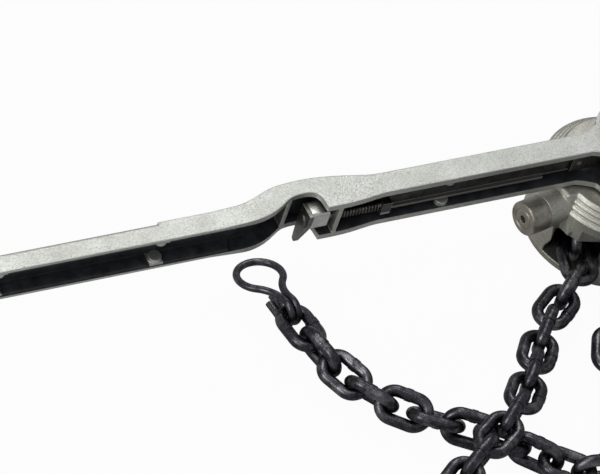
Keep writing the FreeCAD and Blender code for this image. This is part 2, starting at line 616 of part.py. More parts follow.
hold_nose = Part.makeCylinder(PLUNGER_R, 12.0, V(HOLD_ROOT_R + GAP, 0, KNOB_Z), V(1, 0, 0))
hold_nose = hold_nose.common(box(0, 60, -NOSE_HALF, NOSE_HALF, 0, 60))
collar_start = spring_room_start + GAP
collar_end = collar_start + 1.6
plug_start = BOSS_END - 4.5
plunger = on_knob_line(hold_nose).fuse([radial(PLUNGER_R, HOLD_ROOT_R + 8, KNOB_START + 6),
                                        radial(spring_room_r - 0.5, collar_start, collar_end)])
save("holding_plunger", plunger)
knob = Part.makeCylinder(KNOB_R, KNOB_END - KNOB_START, V(KNOB_START, 0, KNOB_Z), V(1, 0, 0))
knob = knob.makeFillet(1.2, [e for e in knob.Edges if abs(e.BoundBox.XMin - KNOB_END) < 0.01])
knob = knob.cut(Part.makeCylinder(KNOB_HOLE_R, 5, V(KNOB_END - 5, 0, KNOB_Z), V(1, 0, 0)))
groove_cut = Part.makeTorus(6.4, 0.6, V(KNOB_END, 0, KNOB_Z), V(1, 0, 0))
knob = on_knob_line(knob.cut(groove_cut)).cut(radial(PLUNGER_R, 40, KNOB_START + 6))
save("pull_knob", knob)
save("plunger_plug", radial(spring_room_r, plug_start, BOSS_END).cut(
    radial(PLUNGER_R + RUN_FIT, 50, 70)))
knob_axis = V(math.cos(math.radians(KNOB_ANGLE)), math.sin(math.radians(KNOB_ANGLE)), 0)
save("plunger_spring", coil(5.3, 1.2, PLUNGER_SPRING_COILS, plug_start - collar_end,
                            knob_axis * collar_end + UP * KNOB_Z, knob_axis))


# Chain

def master_link():
    """One welded link, long axis on X, flat in the XY plane."""
    half = HALF_LINK - BAR_OFFSET
    edges = [line(V(-half, -BAR_OFFSET, 0), V(half, -BAR_OFFSET, 0)),
             arc(V(half, -BAR_OFFSET, 0), V(half + BAR_OFFSET, 0, 0), V(half, BAR_OFFSET, 0)),
             line(V(half, BAR_OFFSET, 0), V(-half, BAR_OFFSET, 0)),
             arc(V(-half, BAR_OFFSET, 0), V(-half - BAR_OFFSET, 0, 0), V(-half, -BAR_OFFSET, 0))]
    section = Part.Wire([Part.makeCircle(WIRE / 2, V(-half, -BAR_OFFSET, 0), V(1, 0, 0))])
    body = Part.Wire(edges).makePipeShell([section], True, False)
    weld = Part.makeCylinder(WELD_RADIUS, WELD_LENGTH, V(-WELD_LENGTH / 2, BAR_OFFSET, 0), V(1, 0, 0))
    return body.fuse(weld)


LINK = master_link()


def place_link(centre, tangent, roll):
    """A link whose long axis lies on tangent; roll 0 lies flat, 90 stands on edge."""
    x_axis = V(tangent).normalize()
    side = UP.cross(x_axis).normalize()
    top = x_axis.cross(side)
    spin = FreeCAD.Rotation(x_axis, side, top, "XYZ")
    copy = LINK.copy()
    copy.Placement = FreeCAD.Placement(centre, spin.multiply(FreeCAD.Rotation(V(1, 0, 0), roll)))
    return copy


def link_span(pitch, stands):
    """Length of one link between its joints: a standing link is long (stands 1), a flat one short (-1)."""
    return pitch + (2 * HALF_LINK - pitch) * stands


def point_on(edge, length):
    """The point at a length along an edge, carried straight on past its end."""
    if length <= edge.Length:
        return edge.valueAt(edge.getParameterByLength(length))
    end = edge.LastParameter
    return edge.valueAt(end) + edge.tangentAt(end) * (length - edge.Length)


def strand(points, first, pitch_list, roll_list, stand_list):
    """Links set along a smooth line through points, one after another."""
    curve = Part.BSplineCurve()
    curve.interpolate(points)
    edge = curve.toShape()
    links = []
    at = first
    for pitch, roll, stands in zip(pitch_list, roll_list, stand_list):
        span = link_span(pitch, stands)
        back = point_on(edge, at)
        front = point_on(edge, at + span)
        links.append(((back + front) * 0.5, front - back, roll))
        at += span
    return links, edge.Length, at


def housing_point(l, w, z):
    c = math.cos(math.radians(BODY_ANGLE))
    s = math.sin(math.radians(BODY_ANGLE))
    return V(l * c - w * s, l * s + w * c, z)


wrap = []
for k in range(-2, 3):
    a = math.radians(45.0 * k)
    radius = GROOVE_LINE if k % 2 == 0 else POCKET_LINE
    centre = housing_point(radius * math.cos(a), radius * math.sin(a), CHAIN_Z)
    tangent = housing_point(-math.sin(a), math.cos(a), 0)
    wrap.append((centre, tangent, 0.0 if k % 2 == 0 else 90.0))

STRAIGHT = 52.0
LOAD_POINTS = [housing_point(0, GROOVE_LINE, CHAIN_Z), housing_point(-STRAIGHT / 2, GROOVE_LINE, CHAIN_Z),
               housing_point(-STRAIGHT, GROOVE_LINE, CHAIN_Z - 0.8),
               V(-63, -60, 16.2), V(-86, -84, 17.2), V(-107, -110, 23.2), V(-130, -134, 28.8),
               V(-156, -151, 28.2), V(-182, -168, 22.8), V(-208, -186, 16.4), V(-236, -206, 12.8),
               V(-262, -224, 12.0), V(-290, -244, 12.0)]
SLACK_POINTS = [housing_point(0, -GROOVE_LINE, CHAIN_Z), housing_point(-STRAIGHT / 2, -GROOVE_LINE, CHAIN_Z),
                housing_point(-STRAIGHT, -GROOVE_LINE, CHAIN_Z - 1.0),
                V(3, -72, 15.4), V(-17, -79, 13.4), V(-37, -87, 12.3), V(-47, -108, 12.1),
                V(-50, -132, 12.1), V(-58, -158, 12.1), V(-78, -174, 12.1), V(-102, -168, 12.0),
                V(-119, -152, 12.0), V(-137, -136, 11.8), V(-157, -121.5, 11.3), V(-178.6, -106.5, 10.9),
                V(-195.5, -90.8, 11.4), V(-207.3, -72.8, 11.9), V(-214.3, -52.8, 12.1), V(-218.2, -32, 11.5),
                V(-222.5, -11, 10.8)]
LOAD_LINKS = 18
SLACK_LINKS = 21
TWIST_FROM = 11
TWIST_OVER = 9

load_pitches = [TAUT_PITCH] * 3 + [LOOSE_PITCH] * 5 + [TAUT_PITCH - 0.3] * (LOAD_LINKS - 8)
load_rolls = [90.0 * ((k + 1) % 2) for k in range(LOAD_LINKS)]
load_stands = [1.0 - 2.0 * (k % 2) for k in range(LOAD_LINKS)]
slack_pitches = [TAUT_PITCH - 0.2] * 12 + [TAUT_PITCH - 0.9] * (SLACK_LINKS - 12)
slack_rolls = []
slack_stands = []
for k in range(SLACK_LINKS):
    turned = min(max((k - TWIST_FROM) / TWIST_OVER, 0.0), 1.0)
    slack_rolls.append(90.0 * turned + 90.0 * ((k + 1) % 2))
    slack_stands.append((1.0 - turned) * (1.0 - 2.0 * (k % 2)))
first_joint = TAUT_PITCH - HALF_LINK
load_side, load_length, load_used = strand(LOAD_POINTS, first_joint, load_pitches, load_rolls, load_stands)
slack_side, slack_length, slack_used = strand(SLACK_POINTS, first_joint, slack_pitches, slack_rolls,
                                               slack_stands)
print("load line", round(load_length, 1), "used", round(load_used, 1),
      "slack line", round(slack_length, 1), "used", round(slack_used, 1))
on_wheel = wrap + [load_side[0], slack_side[0]]
save("chain_on_sheave", [place_link(*k) for k in on_wheel])
save("chain_load_side", [place_link(*k) for k in load_side[1:]])
save("chain_slack_side", [place_link(*k) for k in slack_side[1:]])


# Stop loop through the last link of the slack side

def stop_loop(centre, outward):
    """Bent wire: two hooked tips round the link's end, and a teardrop that lies down."""
    r = LOOP_WIRE / 2
    leg = r + LOOP_LEG_GAP / 2
    turn = WIRE / 2 + r + LOOP_HOLD
    bar_u = HALF_LINK
    lean = math.radians(LOOP_LEAN)
    x_axis = V(outward.x, outward.y, 0).normalize()
    y_axis = UP.cross(x_axis)

    def at(u, v, z):
        return centre + x_axis * u + y_axis * v + UP * z

    def on_slope(s, v):
        u = bar_u + turn * math.sin(lean) + s * math.cos(lean)
        z = turn * math.cos(lean) - s * math.sin(lean)
        return at(u, v, z)

    flare_angle = math.acos((leg + LOOP_FLARE_R) / (LOOP_R + LOOP_FLARE_R))
    s1 = LOOP_STRAIGHT
    half = flare_angle / 2
    p_mid = (s1 + LOOP_FLARE_R * math.sin(half), leg + LOOP_FLARE_R * (1 - math.cos(half)))
    p_end = (s1 + LOOP_FLARE_R * math.sin(flare_angle),
             leg + LOOP_FLARE_R * (1 - math.cos(flare_angle)))
    s_far = s1 + (LOOP_FLARE_R + LOOP_R) * math.sin(flare_angle) + LOOP_R
    edges = []
    tips = ((1, LOOP_TIP), (-1, LOOP_TIP + 4))
    start = at(bar_u + tips[0][1], leg, -turn)
    edges.append(line(start, at(bar_u, leg, -turn)))
    edges.append(arc(at(bar_u, leg, -turn), at(bar_u - turn, leg, 0), on_slope(0, leg)))
    edges.append(line(on_slope(0, leg), on_slope(s1, leg)))
    edges.append(arc(on_slope(s1, leg), on_slope(*p_mid), on_slope(*p_end)))
    edges.append(arc(on_slope(*p_end), on_slope(s_far, 0), on_slope(p_end[0], -p_end[1])))
    edges.append(arc(on_slope(p_end[0], -p_end[1]), on_slope(p_mid[0], -p_mid[1]),
                     on_slope(s1, -leg)))
    edges.append(line(on_slope(s1, -leg), on_slope(0, -leg)))
    edges.append(arc(on_slope(0, -leg), at(bar_u - turn, -leg, 0), at(bar_u, -leg, -turn)))
    edges.append(line(at(bar_u, -leg, -turn), at(bar_u + tips[1][1], -leg, -turn)))
    return tube(edges, r)


last_centre, last_tangent, last_roll = slack_side[-1]
print("last slack link", last_centre, last_tangent, last_roll)
save("stop_loop", stop_loop(last_centre, last_tangent))


# Hooks

def hook_set(name, base, axis, block_len):
    """Hook with collar, shank and nut; the bow lies flat, its mouth to the left of axis."""
    x_axis = V(axis).normalize()
    y_axis = UP.cross(x_axis)
    spin = FreeCAD.Rotation(x_axis, y_axis, UP, "XYZ")
    place = FreeCAD.Placement(base, spin)
    neck = 12.0
    bow = COLLAR + neck + HOOK_R

    sections = []
    stations = [(180, HOOK_WIRE_NECK), (205, 8.0), (235, 9.0), (270, HOOK_WIRE_BACK), (305, 9.4),
                (335, 8.8), (360, 8.2), (385, 7.6), (410, 7.0), (435, 6.4), (455, HOOK_WIRE_TIP)]
    for degrees, radius in stations:
        a = math.radians(degrees)
        point = V(bow + HOOK_R * math.cos(a), HOOK_R * math.sin(a), 0)
        tangent = V(-math.sin(a), math.cos(a), 0)
        sections.append(Part.Wire([Part.makeCircle(radius, point, tangent)]))
    bow_solid = Part.makeLoft(sections, True, False)
    a = math.radians(455)
    tip = Part.makeSphere(HOOK_WIRE_TIP, V(bow + HOOK_R * math.cos(a), HOOK_R * math.sin(a), 0))
    neck_solid = Part.makeCone(COLLAR_R - 1.5, HOOK_WIRE_NECK + 0.6, neck, V(COLLAR, 0, 0), V(1, 0, 0))
    neck_ball = Part.makeSphere(HOOK_WIRE_NECK + 0.6, V(COLLAR + neck, 0, 0))
    collar = Part.makeCylinder(COLLAR_R, COLLAR, V(0, 0, 0), V(1, 0, 0))
    shank = Part.makeCylinder(SHANK_R, block_len + SWIVEL_NUT + 1.2, V(-block_len - SWIVEL_NUT - 1.2, 0, 0),
                              V(1, 0, 0))
    body = bow_solid.fuse([tip, neck_solid, neck_ball, collar, shank])
    nut_low = -block_len - SWIVEL_NUT - 0.4
    nut = Part.makeCylinder(COLLAR_R - 0.6, SWIVEL_NUT, V(nut_low, 0, 0), V(1, 0, 0))
    nut = nut.cut(Part.makeCylinder(SHANK_R, SWIVEL_NUT + 2, V(nut_low - 1, 0, 0), V(1, 0, 0)))

    # Latch: a bent strip from its pin at the neck to the inside of the tip
    pin_at = V(COLLAR + neck + 3.0, HOOK_WIRE_NECK + 4.4, 0)
    ear = Part.makeCylinder(4.2, 5.0, pin_at - UP * 2.5, UP)
    ear = ear.fuse(Part.makeBox(8, pin_at.y - 1, 5.0, V(pin_at.x - 4.0, 1, -2.5)))
    pin = Part.makeCylinder(1.6, 13.0, pin_at - UP * 6.5, UP)
    body = body.fuse(ear).cut(Part.makeCylinder(1.6 + RUN_FIT, 30, pin_at - UP * 15, UP))
    tip_in = V(bow - 2.0, HOOK_R - HOOK_WIRE_TIP - CHEEK_HALF - GAP, 0)
    reach = tip_in - pin_at
    length = reach.Length
    local = []
    for side in (-1, 1):
        z0 = 2.5 + GAP if side > 0 else -2.5 - GAP - 1.6
        cheek = Part.makeBox(length + 2, 2 * CHEEK_HALF, 1.6, V(0, -CHEEK_HALF, z0))
        cheek = cheek.fuse(Part.makeCylinder(3.8, 1.6, V(0, 0, z0), UP))
        local.append(cheek)
    strip = Part.makeBox(length - 6, 1.8, 2 * (2.5 + GAP + 1.6), V(8, 1.0, -(2.5 + GAP + 1.6)))
    latch = strip.fuse(local)
    turn = math.degrees(math.atan2(reach.y, reach.x))
    latch.Placement = FreeCAD.Placement(pin_at, FreeCAD.Rotation(UP, turn))
    latch = latch.cut(Part.makeCylinder(1.6 + RUN_FIT, 30, pin_at - UP * 15, UP))
    shapes = {"hook": body, "swivel_nut": nut, "latch": latch, "latch_pin": pin}
    for key, shape in shapes.items():
        moved = shape.copy()
        moved.Placement = place.multiply(moved.Placement)
        save(name + "_" + key, moved)
    at_pin = place.multVec(pin_at)
    print(name, "latch pin at", at_pin, "bow at", place.multVec(V(bow, 0, 0)), "latch turn", turn)


def at_place(place, shape):
    moved = shape.copy()
    moved.Placement = place.multiply(moved.Placement)
    return moved


def block_axes(angle):
    """Axes of a hook block whose own +X points at an angle in the plan."""
    x_axis = V(math.cos(math.radians(angle)), math.sin(math.radians(angle)), 0)
    return FreeCAD.Rotation(x_axis, UP.cross(x_axis), UP, "XYZ")


NUT_ROOM = SWIVEL_NUT + 3.0
NUT_SIDE = COLLAR_R - 0.1
BLOCK_HALF_W = 14.0

# Top block: a tongue in the housing's fork, then a body with a window for the swivel nut
top_angle = BODY_ANGLE + TOP_TURN
lug_angle = math.radians(LUG_TURN)
top_pin_at = housing_point(LUG_R * math.cos(lug_angle), LUG_R * math.sin(lug_angle), CHAIN_Z)
top_place = FreeCAD.Placement(top_pin_at, block_axes(top_angle))
tongue_low = LUG_LOW + LUG_CHEEK + GAP - CHAIN_Z
tongue_high = LUG_HIGH - LUG_CHEEK - GAP - CHAIN_Z
top_half_z = 14.0
body_start = LUG_HALF + 1.6
tongue = drum(LUG_HALF - 1.0, tongue_low, tongue_high)
tongue = tongue.fuse(box(0, body_start + 2, -LUG_HALF + 1, LUG_HALF - 1, tongue_low, tongue_high))
top_body = box(body_start, TOP_BLOCK, -BLOCK_HALF_W, BLOCK_HALF_W, -top_half_z, top_half_z)
top_body = top_body.makeFillet(4.0, [e for e in top_body.Edges if e.BoundBox.XLength > 20])
nut_start = body_start + 3.5
window = box(nut_start, nut_start + NUT_ROOM, -40, 40, -NUT_SIDE, NUT_SIDE)
top_block = tongue.fuse(top_body).cut(window)
top_block = top_block.cut([drum(LUG_PIN_R + RUN_FIT, -40, 40),
                           Part.makeCylinder(SHANK_R + RUN_FIT, 60, V(nut_start + 1, 0, 0), V(1, 0, 0))])
save("top_block", at_place(top_place, top_block))
save("top_block_pin", drum(LUG_PIN_R, LUG_LOW, LUG_HIGH, top_pin_at.x, top_pin_at.y))
top_base = top_place.multVec(V(TOP_BLOCK + GAP, 0, 0))
hook_set("top", top_base, top_base - top_pin_at, TOP_BLOCK + GAP - nut_start - NUT_ROOM + 0.6)

# Load block: two halves riveted round the last link of the load side
end_centre, end_tangent, end_roll = load_side[-1]
print("load end", end_centre, end_tangent, end_roll)
end_angle = math.degrees(math.atan2(end_tangent.y, end_tangent.x))
load_place = FreeCAD.Placement(end_centre, block_axes(end_angle))
LINK_PIN_R = 3.4
pin_u = HALF_LINK - WIRE / 2 - LINK_PIN_R - RUN_FIT
LOAD_BLOCK = 34.0
load_half_z = 11.9
outer = box(pin_u - 7, pin_u + LOAD_BLOCK, -BLOCK_HALF_W - 1, BLOCK_HALF_W + 1, -load_half_z, load_half_z)
outer = outer.makeFillet(4.0, [e for e in outer.Edges if e.BoundBox.XLength > 20])
link_room = box(pin_u - 10, pin_u + 12, -LINK_WIDE - 0.8, LINK_WIDE + 0.8, -WIRE / 2 - 0.8, WIRE / 2 + 0.8)
neighbour_room = box(pin_u - 10, pin_u - LINK_PIN_R - 0.4, -WIRE / 2 - 0.9, WIRE / 2 + 0.9, -40, 40)
load_nut_start = pin_u + 14.0
nut_room = box(load_nut_start, load_nut_start + NUT_ROOM, -NUT_SIDE, NUT_SIDE, -NUT_SIDE + 0.4,
               NUT_SIDE - 0.4)
bore = Part.makeCylinder(SHANK_R + RUN_FIT, 60, V(load_nut_start + 1, 0, 0), V(1, 0, 0))
link_pin = Part.makeCylinder(LINK_PIN_R, 2 * load_half_z, V(pin_u, 0, -load_half_z), UP)
rivets = []
for u, v in ((pin_u + LOAD_BLOCK - 4.5, 11.2), (pin_u + LOAD_BLOCK - 4.5, -11.2), (pin_u + 12.8, 12.6),
             (pin_u + 12.8, -12.6)):
    rivets.append(Part.makeCylinder(1.8, 2 * load_half_z, V(u, v, -load_half_z), UP))
hollow = outer.cut([link_room, neighbour_room, nut_room, bore, link_pin] + rivets)
save("load_block_lower", at_place(load_place, hollow.common(box(-60, 90, -40, 40, -40, 0))))
save("load_block_upper", at_place(load_place, hollow.common(box(-60, 90, -40, 40, 0, 40))))
save("load_link_pin", at_place(load_place, link_pin))
save("load_block_rivets", [at_place(load_place, r) for r in rivets])
load_base = load_place.multVec(V(pin_u + LOAD_BLOCK + GAP, 0, 0))
hook_set("load", load_base, load_base - end_centre,
         pin_u + LOAD_BLOCK + GAP - load_nut_start - NUT_ROOM + 0.6)
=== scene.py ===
"""Lever chain hoist on its side: finishes, wound springs, camera, light and floor."""

import bpy
import numpy as np
from mathutils import Matrix, Vector


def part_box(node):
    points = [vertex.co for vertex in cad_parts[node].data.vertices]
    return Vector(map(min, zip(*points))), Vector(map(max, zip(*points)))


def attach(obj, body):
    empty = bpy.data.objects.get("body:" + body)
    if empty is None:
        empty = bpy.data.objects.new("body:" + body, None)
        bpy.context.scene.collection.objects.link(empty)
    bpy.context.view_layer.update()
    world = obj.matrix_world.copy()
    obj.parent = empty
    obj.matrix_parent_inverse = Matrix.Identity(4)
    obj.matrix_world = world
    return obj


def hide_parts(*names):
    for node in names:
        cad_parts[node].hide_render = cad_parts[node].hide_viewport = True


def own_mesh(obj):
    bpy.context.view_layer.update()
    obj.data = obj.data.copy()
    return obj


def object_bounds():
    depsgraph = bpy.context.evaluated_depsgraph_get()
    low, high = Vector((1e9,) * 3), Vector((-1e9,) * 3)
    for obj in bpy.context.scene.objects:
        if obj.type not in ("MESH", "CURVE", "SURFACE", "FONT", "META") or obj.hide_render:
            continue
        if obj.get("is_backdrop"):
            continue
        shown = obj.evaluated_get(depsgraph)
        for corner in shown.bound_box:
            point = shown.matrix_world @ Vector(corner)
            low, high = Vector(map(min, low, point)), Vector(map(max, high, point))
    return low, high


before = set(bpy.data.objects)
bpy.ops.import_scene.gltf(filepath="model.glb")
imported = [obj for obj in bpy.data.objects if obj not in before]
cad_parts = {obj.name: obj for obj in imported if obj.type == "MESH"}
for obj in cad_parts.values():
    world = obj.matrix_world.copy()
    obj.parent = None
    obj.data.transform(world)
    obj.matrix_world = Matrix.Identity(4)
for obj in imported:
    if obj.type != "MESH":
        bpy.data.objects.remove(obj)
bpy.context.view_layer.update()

bl_info = {
    "name": "Lever chain hoist",
    "version": (1, 0, 0),
    "blender": (4, 5, 0),
    "location": "View3D > Sidebar > Hoist",
    "description": "Dresses a lever chain hoist and sets its camera, light and floor",
    "category": "Object",
}

MM = 0.001
KNOB_LINE = (-0.982287, -0.187381, 0.0)   # from the shaft's axis out to the pull knob
PLUNGER_COIL_ENDS = (0.0414, 0.0539)      # metres out along it: the plunger's collar, the plug
COIL_POINTS = 28                          # points along the wire on each turn
WIRE_SIDES = 12                           # points round the wire
FLOOR_HALF = 12.0                         # metres from the middle to the floor's edge
FLOOR_POINTS = 13                         # points along each edge
FLOOR_DROP = 0.0002                       # metres from the hoist's lowest point down to the floor
FLOOR_GLOW = 0.96                         # how far the floor is white to the camera
ROOM_LIGHT = 0.36                         # strength of the room's light on the hoist
LIGHTS = (("Soft_back", (0.30, 1.05, 1.4), 0.8, 7.0),   # name, place and size in metres, watts
          ("Soft_top", (-0.6, 0.1, 1.7), 0.8, 6.0),
          ("Soft_left", (-1.5, -0.3, 0.9), 0.7, 8.0))
LIGHTS_AIM = (-0.2, 0.0, 0.04)
CAMERA_RIGHT = (0.8846, -0.3994, 0.2343)
CAMERA_UP = (0.1771, 0.7586, 0.6269)
CAMERA_AIM = (-0.2065, 0.0071, 0.0399)
IMAGE_WIDTH = 600


def linear(hex_colour):
    """A hex sRGB colour as linear RGBA."""
    values = [int(hex_colour[i:i + 2], 16) / 255 for i in (1, 3, 5)]
    return [v / 12.92 if v <= 0.04045 else ((v + 0.055) / 1.055) ** 2.4 for v in values] + [1.0]


def add_node(tree, kind, inputs=None, stops=(), **settings):
    """Adds a node and returns its outputs. An input takes a value or another node's output; stops
    are the (position, colour or grey) of a ramp."""
    node = tree.nodes.new(kind)
    for key, value in settings.items():
        setattr(node, key, value)
    for key, value in (inputs or {}).items():
        if isinstance(value, bpy.types.NodeSocket):
            tree.links.new(value, node.inputs[key])
        else:
            node.inputs[key].default_value = value
    for number, (position, colour) in enumerate(stops):
        if number >= len(node.color_ramp.elements):
            node.color_ramp.elements.new(position)
        element = node.color_ramp.elements[number]
        element.position = position
        element.color = [colour] * 3 + [1.0] if isinstance(colour, float) else colour
    return node.outputs


def new_material(name):
    """An empty node material; returns it, its tree and its Object coordinates."""
    material = bpy.data.materials.new(name)
    material.use_nodes = True
    material.node_tree.nodes.clear()
    return material, material.node_tree, add_node(material.node_tree, "ShaderNodeTexCoord")["Object"]


def pattern(tree, place, size_mm, detail=4.0, roughness=0.6, stretch=(1.0, 1.0, 1.0)):
    """Noise whose features are about size_mm across, drawn out by stretch."""
    scale = [1.0 / (size_mm * MM * s) for s in stretch]
    place = add_node(tree, "ShaderNodeMapping", {"Vector": place, "Scale": scale})[0]
    return add_node(tree, "ShaderNodeTexNoise",
                    {"Vector": place, "Scale": 1.0, "Detail": detail, "Roughness": roughness})["Fac"]


def layer(tree, amount, below, above):
    """Lays one colour over another by an amount from 0 to 1."""
    return add_node(tree, "ShaderNodeMix", {0: amount, 6: below, 7: above}, data_type="RGBA")[2]


def close_metal(tree, colour, roughness, height, height_mm, metallic=1.0, normal=None):
    """Joins colour, roughness and relief to one surface and the output."""
    relief = {"Height": height, "Strength": 1.0, "Distance": height_mm * MM}
    if normal:
        relief["Normal"] = normal
    bump = add_node(tree, "ShaderNodeBump", relief)[0]
    surface = add_node(tree, "ShaderNodeBsdfPrincipled",
                       {"Base Color": colour, "Roughness": roughness, "Normal": bump,
                        "Metallic": metallic})[0]
    add_node(tree, "ShaderNodeOutputMaterial", {"Surface": surface})


def edge_wear(tree, radius_mm):
    """Rounds the corners by radius_mm in the shading; returns that normal and how near a corner is."""
    soft = add_node(tree, "ShaderNodeBevel", {"Radius": radius_mm * MM}, samples=6)[0]
    flat = add_node(tree, "ShaderNodeNewGeometry")["Normal"]
    along = add_node(tree, "ShaderNodeVectorMath", {0: soft, 1: flat}, operation="DOT_PRODUCT")["Value"]
    return soft, add_node(tree, "ShaderNodeMapRange", {0: along, 1: 0.995, 2: 0.86, 3: 0.0, 4: 1.0})[0]


# The lever's channel, in metres. The middle of its web lies behind the rod's side by a share of
# WEB_DEPTH, given at shares of the run WEB_X.
WEB_X = (-0.262, -0.168)
WEB_DEPTH = 0.016
WEB_MIDDLE = ((0.0, 0.150), (0.138, 0.281), (0.266, 0.562), (0.372, 0.656), (0.479, 0.688), (0.617, 0.644),
              (0.809, 0.475), (1.0, 0.312))
CHANNEL_END = -0.462
CHANNEL_MID = 0.0725
CHANNEL_HALF = 0.0107
RIBS_X = (-0.2268, -0.1983)
RIB_HALF = 0.0016
NIBS_X = (-0.126, -0.310, -0.409)
NIB_HALF = 0.0042
NIB_BACK = 0.0003
NIB_SPAN = (0.0084, 0.0020)


def channel_shade_mask(tree, place):
    """1 inside the lever's channel and 0 on its outer faces, ribs and nibs: between the flanges and in
    front of the middle of the web, whose place moves with X. It marks where shade is painted."""

    def sums(first, second, kind, reach=0.0):
        return add_node(tree, "ShaderNodeMath", {0: first, 1: second, 2: reach}, operation=kind)[0]

    x, y, z = add_node(tree, "ShaderNodeSeparateXYZ", {0: place})[:3]
    run = add_node(tree, "ShaderNodeMapRange", {0: x, 1: WEB_X[0], 2: WEB_X[1]})[0]
    share = add_node(tree, "ShaderNodeValToRGB", {0: run}, WEB_MIDDLE)[0]
    amount = sums(y, sums(share, WEB_DEPTH, "MULTIPLY"), "LESS_THAN")
    amount = sums(amount, sums(z, CHANNEL_MID, "COMPARE", CHANNEL_HALF), "MULTIPLY")
    amount = sums(amount, sums(x, CHANNEL_END, "GREATER_THAN"), "MULTIPLY")
    from_mid = sums(sums(z, CHANNEL_MID, "SUBTRACT"), 0.0, "ABSOLUTE")
    nib = sums(sums(from_mid, NIB_SPAN[0], "COMPARE", NIB_SPAN[1]),
               sums(y, NIB_BACK, "LESS_THAN"), "MULTIPLY")
    clean = 0.0
    for middle in NIBS_X:
        clean = sums(clean, sums(nib, sums(x, middle, "COMPARE", NIB_HALF), "MULTIPLY"), "MAXIMUM")
    for middle in RIBS_X:
        clean = sums(clean, sums(x, middle, "COMPARE", RIB_HALF), "MAXIMUM")
    return sums(amount, sums(1.0, clean, "SUBTRACT"), "MULTIPLY")


def cast_aluminium(name, light, mid, dark, shade_inside_channel=False):
    """Aluminium cast in sand and tumbled: pale and dull, with a fine grain that breaks the highlights,
    small dark pits, broad grey smears and corners rubbed bright. Where asked, the inside of the channel
    is painted near black and made almost non-metallic: painted shade in the recess."""
    material, tree, place = new_material(name)
    smear = pattern(tree, place, 24.0, 5.0, 0.65)
    grain = pattern(tree, place, 0.9, 3.0, 0.7)
    pits = add_node(tree, "ShaderNodeValToRGB", {0: pattern(tree, place, 1.8, 2.0, 0.55)},
                    [(0.22, 0.7), (0.30, 0.0)])[0]
    colour = add_node(tree, "ShaderNodeValToRGB", {0: smear}, [(0.32, mid), (0.62, light)])[0]
    shade = add_node(tree, "ShaderNodeValToRGB", {0: grain}, [(0.36, 0.30), (0.58, 0.0)])[0]
    colour = layer(tree, shade, colour, dark)
    colour = layer(tree, pits, colour, dark)
    rough = add_node(tree, "ShaderNodeMapRange", {0: grain, 1: 0.3, 2: 0.7, 3: 0.58, 4: 0.42})[0]
    normal, corner = edge_wear(tree, 1.1)
    colour = layer(tree, add_node(tree, "ShaderNodeMath", {0: corner, 1: 0.5}, operation="MULTIPLY")[0],
                   colour, linear("#E6E6E0"))
    metallic = 1.0
    if shade_inside_channel:
        # Painted shade: inside the channel the colour turns near black and the metal dull, standing in for
        # the channel's shadow.
        amount = channel_shade_mask(tree, place)
        patch = pattern(tree, place, 9.0, 4.0, 0.6)
        channel_shade_colour = add_node(tree, "ShaderNodeValToRGB", {0: patch},
                        [(0.35, linear("#1E1F22")), (0.7, linear("#3A3C40"))])[0]
        colour = layer(tree, amount, colour, channel_shade_colour)
        metallic = add_node(tree, "ShaderNodeMapRange", {0: amount, 3: 1.0, 4: 0.1})[0]
    deep = add_node(tree, "ShaderNodeMath", {0: pits, 1: -0.6, 2: grain}, operation="MULTIPLY_ADD")[0]
    close_metal(tree, colour, rough, deep, 0.16, metallic, normal)
    return material


def turned_steel(name, light, dark, rough=(0.30, 0.44), line_mm=0.5, highlight_below=None):
    """Turned or ground steel, dull with handling: fine lines in the highlights, faint brown stains and
    corners rubbed bright. The optional last argument is the height under which a lip is painted bright: a
    painted highlight."""
    material, tree, place = new_material(name)
    lines = pattern(tree, place, line_mm, 2.0, 0.6)
    stain = pattern(tree, place, 7.0, 4.0, 0.6)
    colour = add_node(tree, "ShaderNodeValToRGB", {0: stain},
                      [(0.30, linear(dark)), (0.66, linear(light))])[0]
    roughness = add_node(tree, "ShaderNodeMapRange", {0: lines, 1: 0.3, 2: 0.7, 3: rough[1], 4: rough[0]})[0]
    normal, wear_and_highlight = edge_wear(tree, 0.5)
    # Painted highlight: under the given height the steel is painted bright, as if the lower lip caught the
    # light; it joins the rubbed corners.
    if highlight_below is not None:
        height = add_node(tree, "ShaderNodeSeparateXYZ", {0: place})[2]
        low = add_node(tree, "ShaderNodeMath", {0: height, 1: highlight_below}, operation="LESS_THAN")[0]
        wear_and_highlight = add_node(tree, "ShaderNodeMath", {0: wear_and_highlight, 1: low}, operation="MAXIMUM")[0]
    wear_and_highlight = add_node(tree, "ShaderNodeMath", {0: wear_and_highlight, 1: 0.6}, operation="MULTIPLY")[0]
    colour = layer(tree, wear_and_highlight, colour, linear("#D2D0CA"))
    close_metal(tree, colour, roughness, lines, 0.03, normal=normal)
    return material


def blackened_steel(name, light, dark, bright, scale_mm, rough=(0.36, 0.50)):
    """Drawn or forged steel, blackened and oiled: dark satin, with scale that dulls it in patches and
    rubbed spots where the steel shows lighter."""
    material, tree, place = new_material(name)
    scale = pattern(tree, place, scale_mm, 4.0, 0.65)
    fine = pattern(tree, place, 0.9, 2.0, 0.5)
    colour = add_node(tree, "ShaderNodeValToRGB", {0: scale}, [(0.30, dark), (0.62, light)])[0]
    rubbed = add_node(tree, "ShaderNodeValToRGB", {0: pattern(tree, place, 12.0, 3.0, 0.6)},
                      [(0.50, 0.0), (0.68, 0.7)])[0]
    colour = layer(tree, rubbed, colour, bright)
    roughness = add_node(tree, "ShaderNodeMapRange",
                         {0: scale, 1: 0.35, 2: 0.65, 3: rough[1], 4: rough[0]})[0]
    relief = add_node(tree, "ShaderNodeMath", {0: fine, 1: 0.35, 2: scale}, operation="MULTIPLY_ADD")[0]
    close_metal(tree, colour, roughness, relief, 0.14)
    return material


